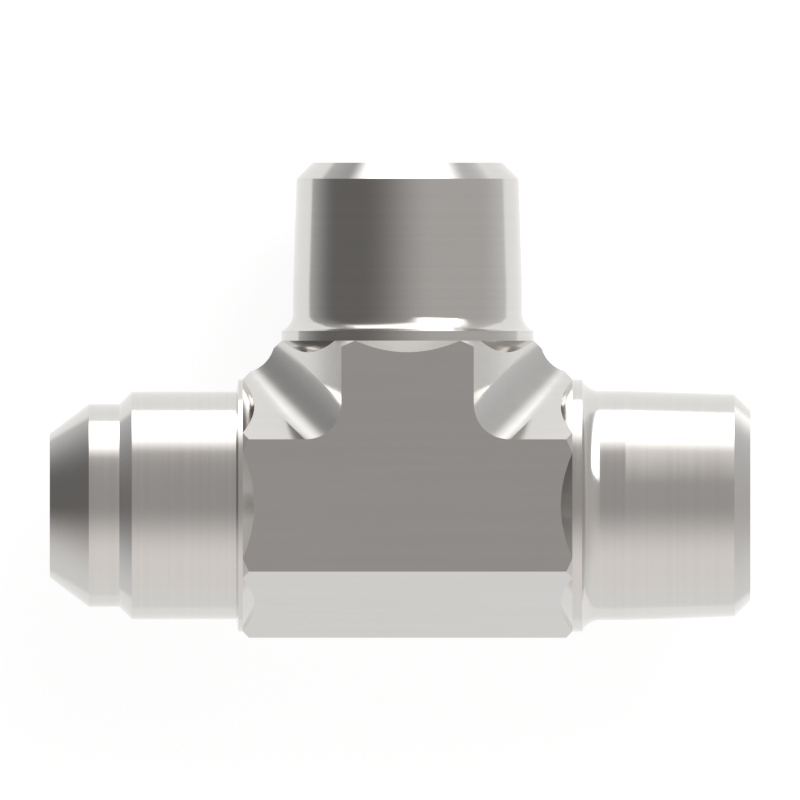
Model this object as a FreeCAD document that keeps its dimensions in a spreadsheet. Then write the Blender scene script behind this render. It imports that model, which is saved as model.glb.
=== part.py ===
import FreeCAD, Part
import Sketcher
import math
import os

# Flare tee adapter: one forged and machined piece of steel with three hollow legs.
# The run lies along X, with the flare end at -X and a taper pipe end at +X. The branch, a second
# taper pipe end, points along +Y. The axes of the legs cross at the origin and lie in the plane
# Z = 0, so the tee rests on the three round collars behind its threads. Lengths are millimetres.

SIZES = (
    ("flats_width", "27.0", "body hexagon, across its flats"),
    ("body_reach", "19.42", "crossing of the legs to the end of the hexagon, on every leg"),
    ("mitre_radius", "5.0", "fillet between the branch hexagon and the run hexagon"),
    ("collar_step", "1.365", "height of the collars above the flats, or above a thicker thread"),
    ("collar_slope", "45", "degrees, back of a collar and chamfer on the hexagon's corners"),
    ("chamfer_share", "0.8", "how far that chamfer goes towards the next leg's, as a share of the way"),
    ("pipe_collar_width", "1.15", "rim of the collar on a pipe leg"),
    ("pipe_root_radius", "2.27", "concave radius from that rim down to the plain part"),
    ("pipe_plain_length", "3.03", "plain part between the root radius and the taper"),
    ("pipe_thread_length", "14.7", "tapered part of a pipe leg, up to its end"),
    ("pipe_end_diameter", "26.06", "pipe thread's crests at the end of the leg, before its chamfer"),
    ("pipe_taper_ratio", "16", "ratio of a pipe thread's length to its growth in diameter"),
    ("pipe_chamfer", "1.82", "height of the chamfer at the start of the pipe thread"),
    ("pipe_bore", "18.3", "diameter drilled into a pipe leg"),
    ("overdrill", "1.0", "how far the run's pipe drill goes on past the branch's hole"),
    ("flare_collar_width", "0.51", "rim of the collar on the flare leg"),
    ("flare_shoulder_lean", "10.9", "degrees by which the face beside that rim leans from square"),
    ("flare_thread_length", "12.28", "straight thread, without its chamfer"),
    ("flare_thread_diameter", "26.82", "crests of the straight thread"),
    ("flare_relief", "1.465", "height of the chamfer from the thread down to the plain land"),
    ("flare_land_length", "3.6", "plain land between that chamfer and the cone"),
    ("flare_cone_height", "3.47", "radial height of the sealing cone"),
    ("flare_angle", "37", "degrees, sealing cone to axis"),
    ("flare_bore", "15.5", "diameter drilled into the flare leg"),
    ("chamfer_angle", "45", "degrees, chamfers of the three threads"),
    ("drill_point", "118", "degrees, included angle of a drill's point"),
)

doc = FreeCAD.newDocument("flare_tee_adapter")
sheet = doc.addObject("Spreadsheet::Sheet", "sizes")
for row, (alias, number, meaning) in enumerate(SIZES, start=1):
    sheet.set(f"A{row}", meaning)
    sheet.set(f"B{row}", number)
    sheet.setAlias(f"B{row}", alias)
doc.recompute()

tee = doc.addObject("PartDesign::Body", "tee_body")
tee.Label = "tee_body"
tee.Placement = FreeCAD.Placement()

# How a sketch counts: a curve's start, end and centre from 1 up, its own two axes from -1 down.
START, END, CENTRE = range(1, 4)
H_AXIS, V_AXIS = range(-1, -3, -1)
ORIGIN = (H_AXIS, START)


def origin_plane(role):
    return next(plane for plane in tee.Origin.OriginFeatures if plane.Role == role)


def new_sketch(name, role, turn=0):
    """A sketch on an origin plane of the body, turned by some degrees about the plane's normal."""
    sketch = tee.newObject("Sketcher::SketchObject", name)
    sketch.AttachmentSupport = [(origin_plane(role), "")]
    sketch.MapMode = "FlatFace"
    turned = FreeCAD.Rotation(FreeCAD.Vector(0, 0, 1), turn)
    sketch.AttachmentOffset = FreeCAD.Placement(FreeCAD.Vector(0, 0, 0), turned)
    return sketch


def drive(sketch, constraint, formula):
    """Adds a constraint whose value is worked out from the sheet."""
    index = sketch.addConstraint(constraint)
    sketch.setExpression(f"Constraints[{index}]", formula)


def join(sketch, sides):
    """Closes sides, given in order, into one loop."""
    for side, follower in zip(sides, sides[1:] + sides[:1]):
        sketch.addConstraint(Sketcher.Constraint("Coincident", side, END, follower, START))


def hexagon(sketch):
    """A regular hexagon about the origin, with corners on the horizontal axis and flats above and below."""
    corner_radius = sketch.evalExpression("sizes.flats_width / sqrt(3)")
    directions = [math.radians(60 * number) for number in range(6)]
    corners = [FreeCAD.Vector(math.cos(a), math.sin(a), 0) * corner_radius for a in directions]
    lines = [Part.LineSegment(a, b) for a, b in zip(corners, corners[1:] + corners[:1])]
    sides = [sketch.addGeometry(line) for line in lines]
    rim = Part.Circle(FreeCAD.Vector(0, 0, 0), FreeCAD.Vector(0, 0, 1), corner_radius)
    circle = sketch.addGeometry(rim, True)
    join(sketch, sides)
    sketch.addConstraint(Sketcher.Constraint("Coincident", circle, CENTRE, *ORIGIN))
    for side in sides:
        sketch.addConstraint(Sketcher.Constraint("PointOnObject", side, START, circle))
    for side, follower in zip(sides, sides[1:]):
        sketch.addConstraint(Sketcher.Constraint("Equal", side, follower))
    sketch.addConstraint(Sketcher.Constraint("PointOnObject", sides[0], START, H_AXIS))
    height = Sketcher.Constraint("DistanceY", *ORIGIN, sides[1], START, corners[1].y)
    drive(sketch, height, "sizes.flats_width / 2")


def hexagon_bar(name, role, length):
    """A hexagonal bar out of an origin plane of the body."""
    sketch = new_sketch(f"{name}_section", role)
    hexagon(sketch)
    bar = tee.newObject("PartDesign::Pad", name)
    bar.Profile = sketch
    bar.setExpression("Length", length)
    return bar


def pin_coordinate(sketch, kind, axis, point, formula):
    """Fixes one coordinate of a sketch point: on the axis, or at a distance from the origin."""
    value = sketch.evalExpression(formula)
    if value == 0:
        sketch.addConstraint(Sketcher.Constraint("PointOnObject", *point, axis))
    elif value > 0:
        drive(sketch, Sketcher.Constraint(kind, *ORIGIN, *point, value), formula)
    else:
        drive(sketch, Sketcher.Constraint(kind, *point, *ORIGIN, -value), f"-({formula})")


def half_section(sketch, corners, concave_arc=None):
    """A closed outline on one side of a leg's axis, drawn clockwise. A corner is a pair of formulas:
    its distance along the leg and its radius. concave_arc is the number of the corner where an arc
    starts, and the formula of the arc's radius; the arc meets the next corner along the axis."""
    values = [[sketch.evalExpression(formula) for formula in corner] for corner in corners]
    points = [FreeCAD.Vector(along, radius, 0) for along, radius in values]
    curves = [Part.LineSegment(a, b) for a, b in zip(points, points[1:] + points[:1])]
    if concave_arc:
        number, radius_formula = concave_arc
        arc_start, arc_end = points[number : number + 2]
        arc_radius = sketch.evalExpression(radius_formula)
        centre = arc_end + FreeCAD.Vector(0, arc_radius, 0)
        start_angle = math.atan2(arc_start.y - centre.y, arc_start.x - centre.x) % (2 * math.pi)
        circle = Part.Circle(centre, FreeCAD.Vector(0, 0, 1), arc_radius)
        curves[number] = Part.ArcOfCircle(circle, start_angle, 1.5 * math.pi)
    sides = [sketch.addGeometry(curve) for curve in curves]
    join(sketch, sides)
    for side, (along, radius) in zip(sides, corners):
        pin_coordinate(sketch, "DistanceX", V_AXIS, (side, START), along)
        pin_coordinate(sketch, "DistanceY", H_AXIS, (side, START), radius)
    if concave_arc:
        drive(sketch, Sketcher.Constraint("Radius", sides[number], arc_radius), radius_formula)


def turned_feature(kind, name, leg_angle, corners, concave_arc=None):
    """Adds or cuts a shape of revolution about the leg that points at leg_angle degrees from +X."""
    sketch = new_sketch(f"{name}_section", "XY_Plane", leg_angle)
    half_section(sketch, corners, concave_arc)
    feature = tee.newObject(kind, name)
    feature.Profile = sketch
    feature.ReferenceAxis = (sketch, ["H_Axis"])
    feature.Angle = 360
    tee.Tip = feature
    doc.recompute()


# Forging: a run bar and a branch bar of the same hexagon. They are longer than the finished body,
# so that the fillets in the crotch are whole when they are made.
BAR_REACH = "(sizes.body_reach + sizes.mitre_radius)"
run_bar = hexagon_bar("run_bar", "YZ_Plane", f"2 * {BAR_REACH}")
run_bar.SideType = "Symmetric"
branch_bar = hexagon_bar("branch_bar", "XZ_Plane", BAR_REACH)
branch_bar.Reversed = True
tee.Tip = branch_bar
doc.recompute()


def is_mitre(edge, tolerance=1e-4):
    """True for an edge of the crotch, from a side corner of the hexagons to a front or back corner."""
    ends = [vertex.Point for vertex in edge.Vertexes]
    on_mitre_plane = all(abs(abs(end.x) - end.y) < tolerance for end in ends)
    return on_mitre_plane and abs(ends[0].z - ends[1].z) > tolerance


edges = enumerate(branch_bar.Shape.Edges, start=1)
mitre_edges = [f"Edge{number}" for number, edge in edges if is_mitre(edge)]
mitres = tee.newObject("PartDesign::Fillet", "mitre_fillets")
mitres.Base = (branch_bar, mitre_edges)
mitres.setExpression("Radius", "sizes.mitre_radius")
tee.Tip = mitres
doc.recompute()

# Radii that all three legs share. The collars stand above the flats and above the thicker thread.
PLAIN = "(sizes.pipe_end_diameter / 2 + sizes.pipe_thread_length / (2 * sizes.pipe_taper_ratio))"
CREST = "(sizes.flare_thread_diameter / 2)"
COLLAR = f"(max(sizes.flats_width / 2; {PLAIN}; {CREST}) + sizes.collar_step)"
CORNER = "(sizes.flats_width / sqrt(3))"

# Facing cut: it takes the bar's surplus length and chamfers its corners down to the collar's rim.
# The chamfer ends short of the place where it would meet the next leg's chamfer, and the cut goes
# on square from there, past the fillets.
CHAMFER_ROOM = f"((sizes.body_reach - {COLLAR}) / (1 + 1 / tan(sizes.collar_slope)))"
CHAMFERED = f"({CHAMFER_ROOM} * sizes.chamfer_share)"
CHAMFER_END = f"sizes.body_reach - {CHAMFERED} / tan(sizes.collar_slope)"
FACED_AWAY = "sizes.body_reach + 2 * sizes.mitre_radius"
PAST_FILLETS = f"{CORNER} + 2 * sizes.mitre_radius"
facing_outline = [
    ("sizes.body_reach", "0"),
    ("sizes.body_reach", COLLAR),
    (CHAMFER_END, f"{COLLAR} + {CHAMFERED}"),
    (CHAMFER_END, PAST_FILLETS),
    (FACED_AWAY, PAST_FILLETS),
    (FACED_AWAY, "0"),
]

# Back of a collar: a cone that rises out of the flats up to the rim.
FOOT = "(sizes.flats_width / 2 - sizes.collar_step)"
FOOT_PLACE = f"sizes.body_reach - ({COLLAR} - {FOOT}) / tan(sizes.collar_slope)"
collar_back = [
    (FOOT_PLACE, "0"),
    (FOOT_PLACE, FOOT),
    ("sizes.body_reach", COLLAR),
]

# Taper pipe leg. The root radius is larger than the collar is high, so it starts at the rim's edge.
PIPE_RIM = "(sizes.body_reach + sizes.pipe_collar_width)"
RISE = f"({COLLAR} - {PLAIN})"
ROOT_END = f"({PIPE_RIM} + sqrt({RISE} * (2 * sizes.pipe_root_radius - {RISE})))"
TAPER_START = f"({ROOT_END} + sizes.pipe_plain_length)"
PIPE_END = f"({TAPER_START} + sizes.pipe_thread_length)"
PIPE_FACE = "(sizes.pipe_end_diameter / 2 - sizes.pipe_chamfer)"
PIPE_CHAMFER = "(sizes.pipe_chamfer / (tan(sizes.chamfer_angle) - 1 / (2 * sizes.pipe_taper_ratio)))"
pipe_outline = collar_back + [
    (PIPE_RIM, COLLAR),
    (ROOT_END, PLAIN),
    (TAPER_START, PLAIN),
    (f"{PIPE_END} - {PIPE_CHAMFER}", f"{PIPE_FACE} + {PIPE_CHAMFER} * tan(sizes.chamfer_angle)"),
    (PIPE_END, PIPE_FACE),
    (PIPE_END, "0"),
]
root_arc = (pipe_outline.index((PIPE_RIM, COLLAR)), "sizes.pipe_root_radius")

# Flare leg: a nearly square shoulder, the straight thread, a chamfer down to a land, and the cone.
FLARE_RIM = "(sizes.body_reach + sizes.flare_collar_width)"
SHOULDER = f"({FLARE_RIM} + ({COLLAR} - {CREST}) * tan(sizes.flare_shoulder_lean))"
THREAD_END = f"({SHOULDER} + sizes.flare_thread_length)"
LAND = f"({CREST} - sizes.flare_relief)"
LAND_START = f"({THREAD_END} + sizes.flare_relief / tan(sizes.chamfer_angle))"
CONE_START = f"({LAND_START} + sizes.flare_land_length)"
FLARE_END = f"({CONE_START} + sizes.flare_cone_height / tan(sizes.flare_angle))"
flare_outline = collar_back + [
    (FLARE_RIM, COLLAR),
    (SHOULDER, CREST),
    (THREAD_END, CREST),
    (LAND_START, LAND),
    (CONE_START, LAND),
    (FLARE_END, f"{LAND} - sizes.flare_cone_height"),
    (FLARE_END, "0"),
]


def drilled_outline(diameter, full_depth, leg_end):
    """A drilled hole from the leg's end: its full diameter reaches full_depth, its point goes further."""
    point_depth = f"{full_depth} - {diameter} / 2 / tan(sizes.drill_point / 2)"
    return [
        (point_depth, "0"),
        (full_depth, f"{diameter} / 2"),
        (leg_end, f"{diameter} / 2"),
        (leg_end, "0"),
    ]


# The run's pipe drill crosses the branch's hole and leaves a small cone at the narrower flare hole.
# The other two drills stop when their full diameter reaches the crossing.
FAR_WALL = "-(sizes.pipe_bore / 2 + sizes.overdrill)"
CROSSING = "0"
LEGS = (
    ("run_pipe", 0, pipe_outline, root_arc, drilled_outline("sizes.pipe_bore", FAR_WALL, PIPE_END)),
    ("branch_pipe", 90, pipe_outline, root_arc, drilled_outline("sizes.pipe_bore", CROSSING, PIPE_END)),
    ("flare", 180, flare_outline, None, drilled_outline("sizes.flare_bore", CROSSING, FLARE_END)),
)
for leg, angle, _, _, _ in LEGS:
    turned_feature("PartDesign::Groove", f"{leg}_facing", angle, facing_outline)
for leg, angle, outline, arc, _ in LEGS:
    turned_feature("PartDesign::Revolution", f"{leg}_end", angle, outline, arc)
for leg, angle, _, _, hole in LEGS:
    turned_feature("PartDesign::Groove", f"{leg}_bore", angle, hole)

failed = [item.Name for item in doc.Objects if {"Invalid", "Error"} & set(item.State)]
if failed:
    raise RuntimeError(f"features that failed: {failed}")
if tee.Shape.isNull() or not tee.Shape.isValid() or len(tee.Shape.Solids) != 1:
    raise RuntimeError("tee_body is not one valid solid")

os.makedirs("parts", exist_ok=True)
tee.Shape.exportStep("parts/tee_body.step")
print("tee_body", tee.Shape.BoundBox, "volume", round(tee.Shape.Volume, 1))
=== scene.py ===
import math

import bpy
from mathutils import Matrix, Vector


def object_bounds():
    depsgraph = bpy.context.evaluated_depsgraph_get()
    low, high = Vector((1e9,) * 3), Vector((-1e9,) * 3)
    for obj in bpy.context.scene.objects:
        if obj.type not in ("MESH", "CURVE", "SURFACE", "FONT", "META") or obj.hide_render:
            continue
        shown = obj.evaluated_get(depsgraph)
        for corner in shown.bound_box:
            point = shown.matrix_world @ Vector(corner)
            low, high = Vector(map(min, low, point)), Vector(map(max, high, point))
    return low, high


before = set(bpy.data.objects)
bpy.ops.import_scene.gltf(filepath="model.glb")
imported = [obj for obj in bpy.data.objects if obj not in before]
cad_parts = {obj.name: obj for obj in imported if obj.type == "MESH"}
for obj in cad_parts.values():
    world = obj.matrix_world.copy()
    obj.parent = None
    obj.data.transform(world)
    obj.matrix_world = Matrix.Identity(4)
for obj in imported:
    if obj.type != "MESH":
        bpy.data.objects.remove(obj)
tee_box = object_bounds()


# The tee: one piece of steel, forged to a six-sided T, with its flats milled and its three legs,
# collars and flare seat turned on a lathe, then bright plated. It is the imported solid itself, so
# only its surface is made here.

def add(tree, kind, settings=None, links=None):
    """Adds one node. Settings name its options or its inputs, and links join inputs to outputs."""
    made = tree.nodes.new(kind)
    for name, value in (settings or {}).items():
        if isinstance(name, str) and hasattr(made, name):
            setattr(made, name, value)
        else:
            made.inputs[name].default_value = value
    for name, output in (links or {}).items():
        tree.links.new(made.inputs[name], output)
    return made


def fade(tree, value, start, end, low=0.0, high=1.0):
    """Adds a smooth change from low, where the value is at start, to high, where it is at end."""
    change = add(tree, "ShaderNodeMapRange",
                 {"interpolation_type": "SMOOTHSTEP", "From Min": start, "From Max": end,
                  "To Min": low, "To Max": high}, {"Value": value})
    return change.outputs["Result"]


def from_srgb(code):
    """Turns a colour written as RRGGBB into the linear colour that a shader takes."""
    parts = [int(code[i:i + 2], 16) / 255 for i in (0, 2, 4)]
    return [c / 12.92 if c <= 0.04045 else ((c + 0.055) / 1.055) ** 2.4 for c in parts] + [1.0]


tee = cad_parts["tee_body"]
BODY_REACH = 0.01942        # from the centre to the collars, where the milled flats end

# Machined steel with a thin bright plate. A satin metal: it shows the room softly, in a faintly
# warm grey, and carries the fine rings of the lathe tool and the straight marks of the mill.
steel = bpy.data.materials.new("machined_plated_steel")
steel.use_nodes = True
tree = steel.node_tree
tree.nodes.clear()

place = add(tree, "ShaderNodeTexCoord").outputs["Object"]
split = add(tree, "ShaderNodeSeparateXYZ", links={"Vector": place})
x, y, z = split.outputs[:3]

# Lathe marks follow the tool's path: along the leg on a cylinder, and outwards on an end face. The
# path counts the radius at a share, so that 45 degree faces get rings too.
FACE_SHARE = 0.6
along_run = add(tree, "ShaderNodeMath", {"operation": "ABSOLUTE"}, {0: x})
run_radius = add(tree, "ShaderNodeCombineXYZ", links={"Y": y, "Z": z})
run_radius = add(tree, "ShaderNodeVectorMath", {"operation": "LENGTH"}, {0: run_radius.outputs[0]})
run_path = add(tree, "ShaderNodeMath", {"operation": "MULTIPLY_ADD", 1: FACE_SHARE},
               {0: run_radius.outputs["Value"], 2: along_run.outputs[0]})
branch_radius = add(tree, "ShaderNodeCombineXYZ", links={"X": x, "Z": z})
branch_radius = add(tree, "ShaderNodeVectorMath", {"operation": "LENGTH"},
                    {0: branch_radius.outputs[0]})
branch_path = add(tree, "ShaderNodeMath", {"operation": "MULTIPLY_ADD", 1: FACE_SHARE},
                  {0: branch_radius.outputs["Value"], 2: y})
on_branch = add(tree, "ShaderNodeMath", {"operation": "GREATER_THAN", 1: BODY_REACH}, {0: y})
tool_path = add(tree, "ShaderNodeMix", {"data_type": "FLOAT"},
                {"Factor": on_branch.outputs[0], 2: run_path.outputs[0],
                 3: branch_path.outputs[0]})

# The real feed is about 0.15 mm a turn. It is drawn as 0.4 mm, so that the rings show.
RING_PITCH = 0.0004
MARK_DETAIL = 3.0
MARK_HARSHNESS = 0.6
rings = add(tree, "ShaderNodeTexNoise",
            {"noise_dimensions": "1D", "Scale": 0.5 / RING_PITCH, "Detail": MARK_DETAIL,
             "Roughness": MARK_HARSHNESS}, {"W": tool_path.outputs[0]})

# Mill marks run straight along the body's flats, 0.6 mm apart and some 15 mm long.
MARK_PITCH = 0.0006
MARK_LENGTH = 0.015
stretched = add(tree, "ShaderNodeMapping",
                {"Scale": (0.5 / MARK_LENGTH, 0.5 / MARK_PITCH, 0.5 / MARK_PITCH)},
                {"Vector": place})
mill = add(tree, "ShaderNodeTexNoise",
           {"Scale": 1.0, "Detail": MARK_DETAIL, "Roughness": MARK_HARSHNESS},
           {"Vector": stretched.outputs[0]})

# A leg begins where the body's flats end. Each bore is drilled all the way in: 18.3 mm across, and
# 15.5 mm across on the flare's side of the step. The reaches are those radii and a little more.
RUN_BORE_REACH = 0.0093
FLARE_BORE_REACH = 0.0079
FLARE_STEP = -0.0105
on_run = add(tree, "ShaderNodeMath", {"operation": "GREATER_THAN", 1: BODY_REACH},
             {0: along_run.outputs[0]})
under_branch = add(tree, "ShaderNodeMath", {"operation": "LESS_THAN", 1: 0.0}, {0: y})
to_branch_axis = add(tree, "ShaderNodeMath", {"operation": "ADD"},
                     {0: branch_radius.outputs["Value"], 1: under_branch.outputs[0]})
to_axis = add(tree, "ShaderNodeMath", {"operation": "MINIMUM"},
              {0: run_radius.outputs["Value"], 1: to_branch_axis.outputs[0]})
at_flare = add(tree, "ShaderNodeMath", {"operation": "LESS_THAN", 1: FLARE_STEP}, {0: x})
bore_reach = add(tree, "ShaderNodeMix",
                 {"data_type": "FLOAT", 2: RUN_BORE_REACH, 3: FLARE_BORE_REACH},
                 {"Factor": at_flare.outputs[0]})
drilled = add(tree, "ShaderNodeMath", {"operation": "LESS_THAN"},
              {0: to_axis.outputs[0], 1: bore_reach.outputs[0]})
turned = add(tree, "ShaderNodeMath", {"operation": "MAXIMUM"},
             {0: on_run.outputs[0], 1: on_branch.outputs[0]})
turned = add(tree, "ShaderNodeMath", {"operation": "MAXIMUM"},
             {0: turned.outputs[0], 1: drilled.outputs[0]})
marks = add(tree, "ShaderNodeMix", {"data_type": "FLOAT"},
            {"Factor": turned.outputs[0], 2: mill.outputs["Fac"], 3: rings.outputs["Fac"]})

# The plate is a little cloudy, in patches of about 6 mm. Marks and clouds together set its tone,
# which moves the colour and the gloss a little.
PATCH = 0.006
CLOUD_SHARE = 0.35
DARKER_STEEL = from_srgb("CFCDC9")
PALER_STEEL = from_srgb("D8D6D3")
TONE_RANGE = (0.2, 0.8)
TURNED_ROUGHNESS = (0.10, 0.15)
DRILLED_ROUGHNESS = 0.33    # a drill leaves a duller wall than the turning tool
MARK_DEPTH = 0.0000007      # 0.7 microns, a smooth machined finish
clouds = add(tree, "ShaderNodeTexNoise", {"Scale": 0.5 / PATCH, "Detail": 2.0}, {"Vector": place})
tone = add(tree, "ShaderNodeMix", {"data_type": "FLOAT", "Factor": CLOUD_SHARE},
           {2: marks.outputs[0], 3: clouds.outputs["Fac"]})
colour = add(tree, "ShaderNodeMix", {"data_type": "RGBA", "A": DARKER_STEEL, "B": PALER_STEEL},
             {"Factor": tone.outputs[0]})
gloss = add(tree, "ShaderNodeMapRange",
            {"From Min": TONE_RANGE[0], "From Max": TONE_RANGE[1],
             "To Min": TURNED_ROUGHNESS[0], "To Max": TURNED_ROUGHNESS[1]},
            {"Value": tone.outputs[0]})
gloss = add(tree, "ShaderNodeMix", {"data_type": "FLOAT", 3: DRILLED_ROUGHNESS},
            {"Factor": drilled.outputs[0], 2: gloss.outputs["Result"]})
relief = add(tree, "ShaderNodeBump", {"Strength": 1.0, "Distance": MARK_DEPTH},
             {"Height": marks.outputs[0]})
metal = add(tree, "ShaderNodeBsdfPrincipled", {"Metallic": 1.0},
            {"Base Color": colour.outputs["Result"], "Roughness": gloss.outputs[0],
             "Normal": relief.outputs["Normal"]})
add(tree, "ShaderNodeOutputMaterial", links={"Surface": metal.outputs["BSDF"]})
tee.material_slots[0].material = steel


# The camera looks straight down on the tee, which lies on its back, with no perspective. The branch
# points up in the picture.
PICTURE_MIDDLE = (-0.000892, 0.012427)
PICTURE_WIDTH = 0.09426
CAMERA_HEIGHT = 0.3
camera = bpy.data.cameras.new("camera")
camera.type = "ORTHO"
camera.ortho_scale = PICTURE_WIDTH
camera_object = bpy.data.objects.new("camera", camera)
camera_object.location = (*PICTURE_MIDDLE, CAMERA_HEIGHT)
bpy.context.collection.objects.link(camera_object)
bpy.context.scene.camera = camera_object


# The table: a small white board, on which the collars rest. It takes a faint soft shadow, and ends
# softly just outside the picture, for every kind of ray. The plane is larger than what shows of it.
TABLE_TOP = tee_box[0].z
TABLE_SIZE = 0.2
bpy.ops.object.select_all(action="DESELECT")
bpy.ops.mesh.primitive_plane_add(size=TABLE_SIZE)
table = bpy.context.object
table.name = "table"
for corner in table.data.vertices:
    corner.co.z = TABLE_TOP

# Matt white board. A grey paint that takes the shadow is lifted to white. The camera sees that lift,
# and so does the steel, which mirrors the same white ground. Glass would too.
board = bpy.data.materials.new("matt_white_board")
board.use_nodes = True
tree = board.node_tree
tree.nodes.clear()
WHITE = (1.0, 1.0, 1.0, 1.0)
WHITE_LIFT = 0.88
BOARD_HALF = 0.0485         # from the middle to where the board starts to end
BOARD_GONE = 0.0545         # and to where nothing of it is left
paint = add(tree, "ShaderNodeBsdfDiffuse", {"Color": from_srgb("808080")})
lift = add(tree, "ShaderNodeEmission", {"Color": WHITE, "Strength": WHITE_LIFT})
lit = add(tree, "ShaderNodeAddShader", links={0: paint.outputs[0], 1: lift.outputs[0]})
ray = add(tree, "ShaderNodeLightPath")
mirrored = add(tree, "ShaderNodeMath", {"operation": "MAXIMUM"},
               {0: ray.outputs["Is Glossy Ray"], 1: ray.outputs["Is Transmission Ray"]})
looked_at = add(tree, "ShaderNodeMath", {"operation": "MAXIMUM"},
                {0: ray.outputs["Is Camera Ray"], 1: mirrored.outputs[0]})
seen = add(tree, "ShaderNodeMixShader",
           links={"Fac": looked_at.outputs[0], 1: paint.outputs[0], 2: lit.outputs[0]})
spot = add(tree, "ShaderNodeTexCoord").outputs["Object"]
off_middle = add(tree, "ShaderNodeVectorMath", {"operation": "SUBTRACT", 1: (*PICTURE_MIDDLE, 0.0)},
                 {0: spot})
off_middle = add(tree, "ShaderNodeVectorMath", {"operation": "ABSOLUTE"},
                 {0: off_middle.outputs[0]})
off_middle = add(tree, "ShaderNodeSeparateXYZ", links={"Vector": off_middle.outputs[0]})
off_middle = add(tree, "ShaderNodeMath", {"operation": "MAXIMUM"},
                 {0: off_middle.outputs[0], 1: off_middle.outputs[1]})
ended = fade(tree, off_middle.outputs[0], BOARD_HALF, BOARD_GONE)
passing = add(tree, "ShaderNodeBsdfTransparent")
shown = add(tree, "ShaderNodeMixShader",
            links={"Fac": ended, 1: seen.outputs[0], 2: passing.outputs[0]})
add(tree, "ShaderNodeOutputMaterial", links={"Surface": shown.outputs[0]})
table.data.materials.append(board)


# The studio: grey walls, darker on the left, a pale foreground, and one large softbox behind the
# tee, leaning to the right. A strength of 1 is white. Directions count from -1 to 1 on each axis.
studio = bpy.data.worlds.new("studio")
bpy.context.scene.world = studio
studio.use_nodes = True
tree = studio.node_tree
tree.nodes.clear()
direction = add(tree, "ShaderNodeTexCoord").outputs["Generated"]
split = add(tree, "ShaderNodeSeparateXYZ", links={"Vector": direction})
right, back, up = split.outputs[:3]

# Each surface has the directions between which it changes, and its strengths at those two.
WALL_SPAN = (-0.764, 0.481)
WALL_STRENGTHS = (0.172, 0.542)
GROUND_SPAN = (-0.873, 0.264)
GROUND_STRENGTHS = (0.651, 0.769)
WALL_TO_GROUND = (0.195, -0.783)
TO_FOREGROUND = (0.015, -0.889)
FOREGROUND_STRENGTH = 0.926
wall = fade(tree, right, *WALL_SPAN, *WALL_STRENGTHS)
ground = fade(tree, right, *GROUND_SPAN, *GROUND_STRENGTHS)
below = fade(tree, up, *WALL_TO_GROUND)
sides = add(tree, "ShaderNodeMix", {"data_type": "FLOAT"}, {"Factor": below, 2: wall, 3: ground})
in_front = fade(tree, back, *TO_FOREGROUND)
room = add(tree, "ShaderNodeMix", {"data_type": "FLOAT", 3: FOREGROUND_STRENGTH},
           {"Factor": in_front, 2: sides.outputs[0]})

# The softbox stands upright behind the tee. Its lengths are in units of its distance, along it and
# across it from one point. Its left end is slanted, and it widens upwards to the right.
SOFTBOX_POINT = (1.517, 1.717, 0.0)
SOFTBOX_TURN = math.radians(43.9)
SOFTBOX_STRENGTH = 7.0
END_SLANT = 0.318
WIDENS_FROM = -1.8
WIDENS_BY = 0.748
LEAST_DEPTH = 0.001         # keeps the division below away from zero
depth = add(tree, "ShaderNodeMath", {"operation": "MAXIMUM", 1: LEAST_DEPTH}, {0: back})
on_screen = add(tree, "ShaderNodeVectorMath", {"operation": "DIVIDE"},
                {0: direction, 1: depth.outputs[0]})
screen = add(tree, "ShaderNodeSeparateXYZ", links={"Vector": on_screen.outputs[0]})
flat = add(tree, "ShaderNodeCombineXYZ", links={"X": screen.outputs[0], "Y": screen.outputs[2]})
on_box = add(tree, "ShaderNodeMapping",
             {"vector_type": "TEXTURE", "Location": SOFTBOX_POINT,
              "Rotation": (0.0, 0.0, SOFTBOX_TURN)}, {"Vector": flat.outputs[0]})
on_box = add(tree, "ShaderNodeSeparateXYZ", links={"Vector": on_box.outputs[0]})
along, across = on_box.outputs[:2]
slanted = add(tree, "ShaderNodeMath", {"operation": "MULTIPLY_ADD", 1: END_SLANT},
              {0: across, 2: along})
wider = add(tree, "ShaderNodeMath", {"operation": "SUBTRACT", 1: WIDENS_FROM}, {0: along})
wider = add(tree, "ShaderNodeMath", {"operation": "MAXIMUM", 1: 0.0}, {0: wider.outputs[0]})
below_top = add(tree, "ShaderNodeMath", {"operation": "MULTIPLY_ADD", 1: -WIDENS_BY},
                {0: wider.outputs[0], 2: across})

# Each edge fades from where its light is gone to where it is full.
LEFT_END = (-2.941, -2.568)
RIGHT_END = (-0.301, -0.922)
FOOT = (-0.808, -0.012)
TOP = (0.417, -0.771)
EDGES = ((slanted.outputs[0], LEFT_END), (along, RIGHT_END), (across, FOOT),
         (below_top.outputs[0], TOP))
softbox = add(tree, "ShaderNodeMath", {"operation": "GREATER_THAN", 1: 0.0}, {0: back})
for reach, span in EDGES:
    softbox = add(tree, "ShaderNodeMath", {"operation": "MULTIPLY"},
                  {0: softbox.outputs[0], 1: fade(tree, reach, *span)})
level = add(tree, "ShaderNodeMix", {"data_type": "FLOAT", 3: SOFTBOX_STRENGTH},
            {"Factor": softbox.outputs[0], 2: room.outputs[0]})

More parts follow.
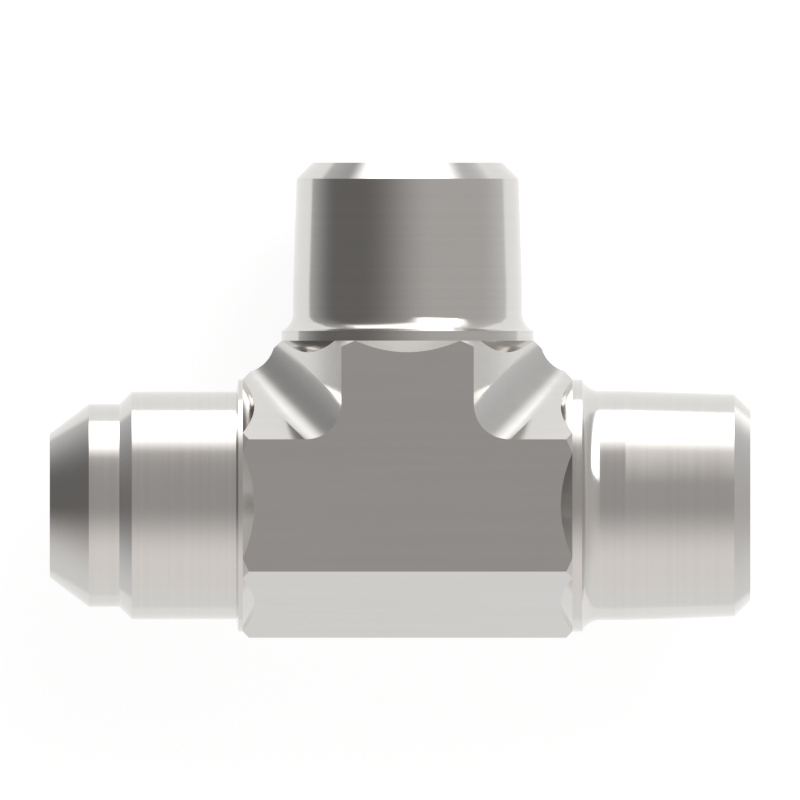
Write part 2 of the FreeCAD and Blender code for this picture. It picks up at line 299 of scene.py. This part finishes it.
# A small second softbox stands low on the right, further back.
LOW_BOX_MIDDLE = (0.429, 0.475, 0.0)
LOW_BOX_TURN = math.radians(27.6)
LOW_BOX_SIZE = (0.35, 0.313, 1.0)
LOW_BOX_STRENGTH = 0.881
low_box = add(tree, "ShaderNodeCombineXYZ", links={"X": right, "Y": back})
low_box = add(tree, "ShaderNodeMapping",
              {"vector_type": "TEXTURE", "Location": LOW_BOX_MIDDLE,
               "Rotation": (0.0, 0.0, LOW_BOX_TURN), "Scale": LOW_BOX_SIZE},
              {"Vector": low_box.outputs[0]})
low_box = add(tree, "ShaderNodeVectorMath", {"operation": "LENGTH"}, {0: low_box.outputs[0]})
low_box = fade(tree, low_box.outputs["Value"], 0.0, 1.0, LOW_BOX_STRENGTH, 0.0)
underneath = add(tree, "ShaderNodeMath", {"operation": "LESS_THAN", 1: 0.0}, {0: up})
low_box = add(tree, "ShaderNodeMath", {"operation": "MULTIPLY"},
              {0: low_box, 1: underneath.outputs[0]})
level = add(tree, "ShaderNodeMath", {"operation": "ADD"},
            {0: level.outputs[0], 1: low_box.outputs[0]})

# The upper room is a little warmer than what lies below, and the softbox has no tint.
WARMTH_SPAN = (-0.4, 0.3)
LOWER_TINT = (1.0, 1.0, 1.01, 1.0)
UPPER_TINT = (1.0, 0.965, 0.955, 1.0)
warmth = fade(tree, up, *WARMTH_SPAN)
room_tint = add(tree, "ShaderNodeMix", {"data_type": "RGBA", "A": LOWER_TINT, "B": UPPER_TINT},
                {"Factor": warmth})
tint = add(tree, "ShaderNodeMix", {"data_type": "RGBA", "B": WHITE},
           {"Factor": softbox.outputs[0], "A": room_tint.outputs["Result"]})
light = add(tree, "ShaderNodeBackground",
            links={"Color": tint.outputs["Result"], "Strength": level.outputs[0]})

# The camera sees the very room that the steel mirrors. Only the two softboxes, which are lamps and
# no part of the background, are hidden from it.
room_alone = add(tree, "ShaderNodeBackground",
                 links={"Color": room_tint.outputs["Result"], "Strength": room.outputs[0]})
ray = add(tree, "ShaderNodeLightPath")
view = add(tree, "ShaderNodeMixShader",
           links={"Fac": ray.outputs["Is Camera Ray"], 1: light.outputs[0],
                  2: room_alone.outputs[0]})
add(tree, "ShaderNodeOutputWorld", links={"Surface": view.outputs[0]})

bpy.context.scene.view_settings.view_transform = "Standard"
